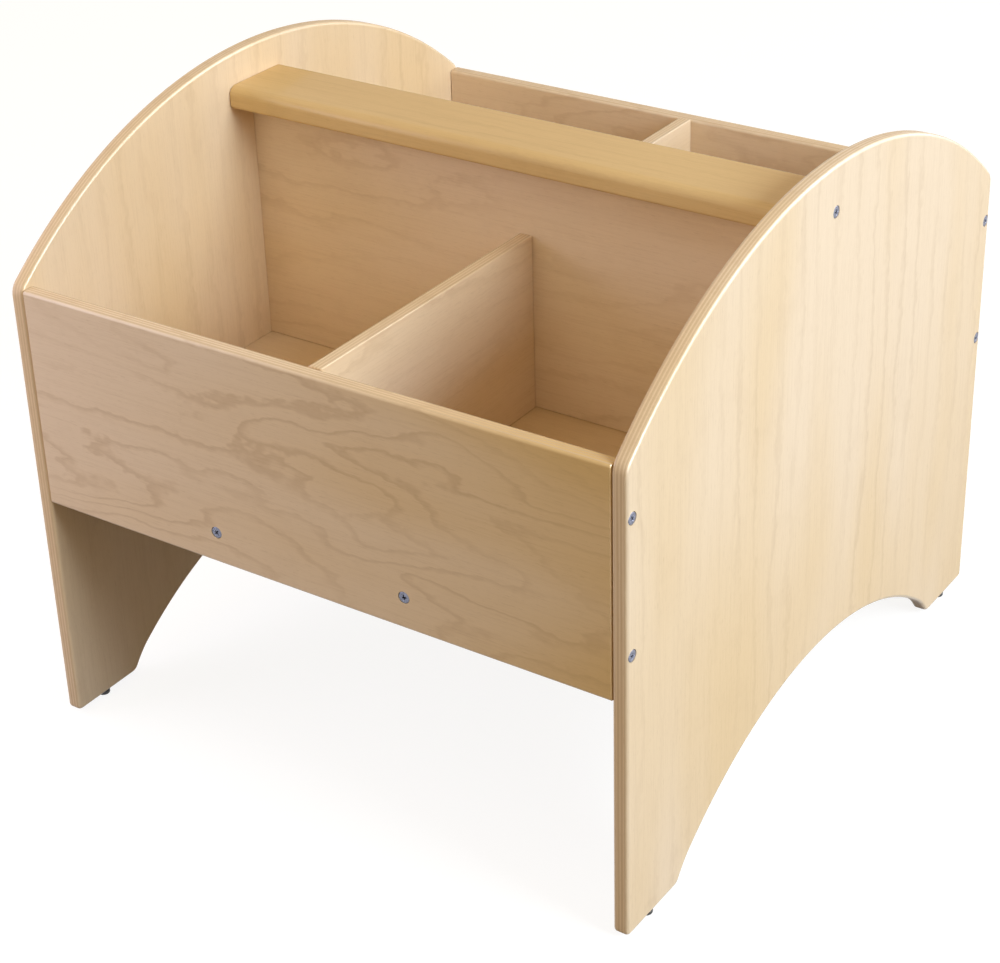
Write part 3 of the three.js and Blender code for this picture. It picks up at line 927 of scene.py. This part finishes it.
def screw_surface():
    """Rows of a screw's surface from the middle of its head to its tip, as (r cos a, r sin a, depth). On the
    head, depth is the recess: a bar of the cross is a product of smooth steps in its width and reach. On the
    shank, r rises and falls with the fraction of depth / pitch - a / turn, and shrinks to the tip. Gives the
    points, how far each is sunk in the recess, and the count of rows."""
    angle = np.linspace(0, 2 * math.pi, screw_sides, endpoint=False)
    face_radius = np.linspace(head_middle_radius, head_radius - head_edge, head_rows)[:, None]
    a, b = np.abs(face_radius * np.cos(angle)), np.abs(face_radius * np.sin(angle))
    half_width = recess_half_width * (recess_flare - recess_taper * face_radius / recess_reach)

    def bar(reach, off):
        sink = np.clip((recess_reach - reach) / (recess_end_share * recess_reach), 0, 1)
        wall = np.clip((half_width - off) / (recess_wall_share * recess_half_width), 0, 1)
        return sink * sink * (3 - 2 * sink) * wall * wall * (3 - 2 * wall)

    face_depth = recess_depth * np.maximum(bar(a, b), bar(b, a))
    face_depth += head_crown * (face_radius / head_radius) ** 2
    face = rings_at(face_radius, face_depth, angle)
    rim_turn = np.linspace(0, math.pi / 2, rim_points)[1:]
    rim_radius = head_radius - head_edge * (1 - np.sin(rim_turn))
    rim_radius = np.concatenate([rim_radius, [head_radius, shank_radius]])
    rim_depth = head_edge * (1 - np.cos(rim_turn)) + rim_drop
    rim_depth = np.concatenate([rim_depth, [head_thickness, head_thickness]])
    rim = rings_at(rim_radius[:, None], rim_depth[:, None], angle)
    depth = np.linspace(head_thickness + neck_length, screw_length - tip_gap, shank_rows)[:, None]
    turn = np.mod(depth / thread_pitch - angle / (2 * math.pi), 1.0)
    crest = np.clip(1 - np.abs(turn - 0.5) / crest_half_share, 0, 1)
    threaded = np.clip((depth - thread_start) / thread_run_in, 0, 1)
    core = shank_radius - thread_height * threaded
    taper = np.clip((screw_length - depth) / tip_length, tip_share, 1)
    shank = rings_at((core + thread_height * threaded * crest) * taper, depth, angle)
    rows = np.concatenate([face, rim, shank])
    sunk = np.zeros(rows.shape[:2])
    sunk[:head_rows] = np.clip(face_depth / recess_depth, 0, 1)
    first, last = (0, 0, face_depth[0].mean()), (0, 0, screw_length)
    points = np.concatenate([[first], rows.reshape(-1, 3), [last]])
    return points, np.concatenate([[1], sunk.ravel(), [0]]), len(rows)


def zinc_plate(name):
    """Zinc plating: a cool bright metal, cloudy with handling, and darkened down in the recess by its depth,
    partly grime and partly painted shade.
    """
    material, tree, shader, place = new_material(name)
    cloud = noise(tree, place, zinc_clouds_per_metre, detail=3.0, roughness=0.6)
    # A mask from how deep each point is sunk in the recess; it darkens the recess, partly as grime and partly
    # as painted shade
    dirt_and_shade = add_node(tree, "ShaderNodeAttribute", attribute_name="sunk").outputs["Fac"]
    plating = mixed(tree, between(tree, cloud, *zinc_cloud_span), zinc_light, zinc_dark)
    scratches = drawn_noise(tree, place, scratches_per_metre, detail=2.0)
    feed(tree, shader, {
        "Base Color": mixed(tree, between(tree, dirt_and_shade, *dirt_and_shade_span), plating, recess_dirt_and_shade),
        "Roughness": summed(tree, zinc_roughness, (cloud, cloud_roughness), (dirt_and_shade, dirt_roughness)),
        "Normal": relief(tree, scratches, scratch_strength, scratch_relief),
        "Metallic": zinc_metal,
    })
    return material


both_sides = (("left", -1), ("right", 1))
both_ends = (("front", -1), ("back", 1))
screw_places = {}
for side, sign in both_sides:
    for end, way in both_ends:
        for level, z in zip(("lower", "upper"), screw_levels):
            screw_places[f"{side}_{end}_{level}_screw"] = side_screw(sign, way, z)
    screw_places[f"{side}_cap_screw"] = cap_screw(sign)
for end, way in both_ends:
    for side, sign in both_sides:
        screw_places[f"{end}_{side}_shelf_screw"] = shelf_screw(sign, way)
    for level, z in zip(("lower", "upper"), cross_levels):
        screw_places[f"{end}_cross_{level}_screw"] = cross_screw(way, z)
    for reach, y in zip(("inner", "outer"), cross_foot_y):
        screw_places[f"{end}_cross_{reach}_foot_screw"] = cross_foot_screw(way, y)
for side, x in zip(("left", "middle", "right"), divider_screw_x):
    screw_places[f"divider_{side}_foot_screw"] = divider_foot_screw(x)

screw_points, screw_sunk, row_count = screw_surface()
screw_faces = turned_faces(row_count, screw_sides)
zinc = zinc_plate("zinc_plate")
for order, (node, (point, direction)) in enumerate(screw_places.items()):
    spin = spin_step * order
    turn = np.array([
        (math.cos(spin), math.sin(spin), 0), (-math.sin(spin), math.cos(spin), 0), (0, 0, 1),
    ])
    placed = screw_points @ turn @ axes_along(direction) + np.asarray(point)
    piece = make_piece(node.replace("_screw", "_wood_screw"), placed, screw_faces)
    piece.data.attributes.new("sunk", "FLOAT", "POINT").data.foreach_set("value", screw_sunk)
    cut_and_shade(piece, [])
    dress(piece, zinc, "zinc_steel", node)


# Glides
# Moulded black nylon buttons on a nail, driven up into the middle of each foot, so the plywood edge stays
# off the floor.
glide_radius = 0.0055
glide_edge = 0.0012
glide_sides = 40
glide_edge_points = 6
sole_rings = (0, 0.002, 0.0036)
rim_ease = 0.0003
nail_taper = 2 * nail_radius
nail_point_radius = 0.0004
nail_point_length = 0.0003
nylon_black = (0.018, 0.018, 0.018, 1)
scuff_grey = (0.11, 0.105, 0.10, 1)
scuff_span = (0.0002, 0.0016)
nylon_clouds_per_metre = 700.0
nylon_roughness = 0.42
nylon_cloud_roughness = 0.25
nylon_strength = 0.2
nylon_relief = 0.0002


def glide_profile():
    """Radius and height of a glide, to be turned: out along its sole, round a quarter circle, up its wall, in
    along its top, and up the nail to the point."""
    turn = np.linspace(0, math.pi / 2, glide_edge_points)
    bend_radius = glide_radius - glide_edge * (1 - np.sin(turn))
    bend_height = glide_edge * (1 - np.cos(turn))
    top = foot_z - fit_gap
    wall_and_nail = [
        (glide_radius, top - rim_ease),
        (glide_radius - rim_ease, top),
        (nail_radius, top),
        (nail_radius, nail_length - nail_taper),
        (nail_point_radius, nail_length - nail_point_length),
        (0, nail_length),
    ]
    sole = np.stack([sole_rings, np.zeros(len(sole_rings))], axis=1)
    return np.concatenate([sole, np.stack([bend_radius, bend_height], axis=1), wall_and_nail])


def moulded_nylon(name):
    """Black nylon with a fine moulded grain, scuffed grey towards the sole."""
    material, tree, shader, place = new_material(name)
    cloud = noise(tree, place, nylon_clouds_per_metre, detail=4.0, roughness=0.6)
    above_sole = between(tree, parts_of(tree, place)[2], *scuff_span)
    scuff = maths(tree, "MULTIPLY", maths(tree, "SUBTRACT", 1.0, above_sole), cloud)
    feed(tree, shader, {
        "Base Color": mixed(tree, scuff, nylon_black, scuff_grey),
        "Roughness": summed(tree, nylon_roughness, (cloud, nylon_cloud_roughness)),
        "Normal": relief(tree, cloud, nylon_strength, nylon_relief),
    })
    return material


nylon = moulded_nylon("black_nylon")
profile = glide_profile()
glide_points = turned_points(profile[:, 0], profile[:, 1], glide_sides)
glide_faces = turned_faces(len(profile) - 2, glide_sides)
for side, sign in both_sides:
    for end, way in both_ends:
        point = (sign * side_middle_x, way * glide_y, 0)
        piece = make_piece(f"{side}_{end}_foot_glide", glide_points + np.asarray(point), glide_faces)
        cut_and_shade(piece, [])
        dress(piece, nylon, "black_nylon", f"{side}_{end}_glide")


# Floor, world and lamps
# A pale studio floor that stays white to the camera but keeps the object's shadow, a soft even sky, a large
# soft key lamp on the right, weaker ones at the front left, in front and behind, and two lamps that show
# only as a sheen on the lacquer.
floor_half = 12.0
floor_points_across = 9
floor_white = (0.85, 0.85, 0.85, 1)
floor_bounce = (0.15, 0.110, 0.055, 1)
floor_glow = 1.16
floor_glow_share = 0.75
sky_warm = (1.0, 0.79, 0.47, 1)
horizon_strength = 0.22
overhead_strength = 0.42
overhead_span = (0.0, 0.9)
pure_white = (1, 1, 1, 1)
sheen_white = (1.0, 0.97, 0.95)
object_middle = np.array([0.0, 0.0, 0.25])


def seen_share(tree):
    """1 where the camera sees a surface, straight, mirrored or through glass, and 0 where it only lights."""
    path = tree.nodes.new("ShaderNodeLightPath").outputs
    seen = maths(tree, "ADD", path["Is Camera Ray"], path["Is Glossy Ray"])
    return maths(tree, "MINIMUM", maths(tree, "ADD", seen, path["Is Transmission Ray"]), 1.0)


steps = np.linspace(-floor_half, floor_half, floor_points_across)
floor_points = np.stack(np.meshgrid(steps, steps, [0.0], indexing="ij"), axis=-1).reshape(-1, 3)
floor_ids = np.arange(floor_points_across ** 2).reshape(floor_points_across, floor_points_across)
floor = make_piece("studio_floor", floor_points, grid_quads(floor_ids).tolist())
floor_material = bpy.data.materials.new("studio_floor")
floor_material.use_nodes = True
tree = floor_material.node_tree
tree.nodes.clear()
seen = seen_share(tree)
paper = add_node(tree, "ShaderNodeBsdfDiffuse", {"Color": mixed(tree, seen, floor_bounce, floor_white)})
glow = add_node(tree, "ShaderNodeEmission", {"Color": pure_white, "Strength": floor_glow})
share = maths(tree, "MULTIPLY", seen, floor_glow_share)
blend = add_node(tree, "ShaderNodeMixShader", {0: share, 1: paper.outputs[0], 2: glow.outputs[0]})
add_node(tree, "ShaderNodeOutputMaterial", {0: blend.outputs[0]})
floor.data.materials.append(floor_material)

world = bpy.data.worlds.new("studio")
bpy.context.scene.world = world
world.use_nodes = True
tree = world.node_tree
tree.nodes.clear()
sky_way = tree.nodes.new("ShaderNodeTexCoord").outputs["Generated"]
overhead = between(tree, parts_of(tree, sky_way)[2], *overhead_span)
strength = maths(tree, "MULTIPLY_ADD", overhead, overhead_strength, horizon_strength)
sky = add_node(tree, "ShaderNodeBackground", {"Color": sky_warm, "Strength": strength})
white = add_node(tree, "ShaderNodeBackground", {"Color": pure_white, "Strength": 1.0})
blend = add_node(tree, "ShaderNodeMixShader", {0: seen_share(tree), 1: sky.outputs[0], 2: white.outputs[0]})
add_node(tree, "ShaderNodeOutputWorld", {0: blend.outputs[0]})


def look_axes(back, roll=0.0):
    """Rotation whose columns are right, up and back for something that looks along -back, rolled about it."""
    back = np.asarray(back) / np.linalg.norm(back)
    right = np.cross((0, 0, 1), back)
    right /= np.linalg.norm(right)
    up = np.cross(back, right)
    rolled_right = math.cos(roll) * right + math.sin(roll) * up
    rolled_up = math.cos(roll) * up - math.sin(roll) * right
    return np.stack([rolled_right, rolled_up, back], axis=1)


def stand(thing, place, axes):
    """Puts a lamp or camera at a place with the given axes."""
    matrix = np.eye(4)
    matrix[:3, :3] = axes
    matrix[:3, 3] = place
    thing.matrix_world = Matrix(matrix.tolist())


def area_lamp(name, way, distance, size, power, colour, sheen_only=False):
    """A square soft lamp that far from the middle of the object, facing it; one that is sheen only is
    mirrored in the finishes and lights nothing else."""
    lamp = bpy.data.lights.new(name, "AREA")
    lamp.size = size
    lamp.energy = power
    lamp.color = colour
    holder = bpy.data.objects.new(name, lamp)
    holder.visible_diffuse = not sheen_only
    bpy.context.scene.collection.objects.link(holder)
    way = np.asarray(way) / np.linalg.norm(way)
    stand(holder, object_middle + way * distance, look_axes(way))


area_lamp(
    "key_lamp", (0.89, -0.05, 0.44), distance=3.0, size=1.3, power=84, colour=(0.81, 0.915, 1.0))
area_lamp(
    "fill_lamp", (-0.80, -0.55, 0.25), distance=1.25, size=0.9, power=7.3, colour=(0.80, 0.78, 1.0))
area_lamp(
    "front_lamp", (-0.08, -0.88, 0.46), distance=2.6, size=0.9, power=7.6, colour=(1.0, 0.88, 0.66))
for name, way in (("front_sheen", (0.85, -0.40, 0.30)), ("back_sheen", (0.68, 0.44, 0.58))):
    area_lamp(name, way, distance=2.6, size=2.0, power=110, colour=sheen_white, sheen_only=True)
area_lamp(
    "back_lamp", (0.46, 0.85, 0.26), distance=2.4, size=1.4, power=15, colour=(1.0, 0.97, 0.93))


# Camera
# At the photograph's viewing angle, fitted to the corners of the bin, in a 1000 by 963 picture.
picture_width = 1000
picture_height = 963
focal_pixels = 2315
principal_y = 440
sensor_width = 36
azimuth = math.radians(34.74)
elevation = math.radians(28.60)
roll = math.radians(-1.77)
camera_place = (0.9655, -1.4302, 1.1428 + foot_z)
camera = bpy.data.cameras.new("photo_camera")
camera.sensor_width = sensor_width
camera.lens = focal_pixels / picture_width * sensor_width
camera.shift_y = (principal_y - picture_height / 2) / picture_width
camera.clip_start = 0.05
camera.clip_end = 60
camera_holder = bpy.data.objects.new("photo_camera", camera)
bpy.context.scene.collection.objects.link(camera_holder)
level_reach = math.cos(elevation)
back = (math.sin(azimuth) * level_reach, -math.cos(azimuth) * level_reach, math.sin(elevation))
stand(camera_holder, camera_place, look_axes(back, roll))
bpy.context.scene.camera = camera_holder
bpy.context.scene.view_settings.view_transform = "Standard"
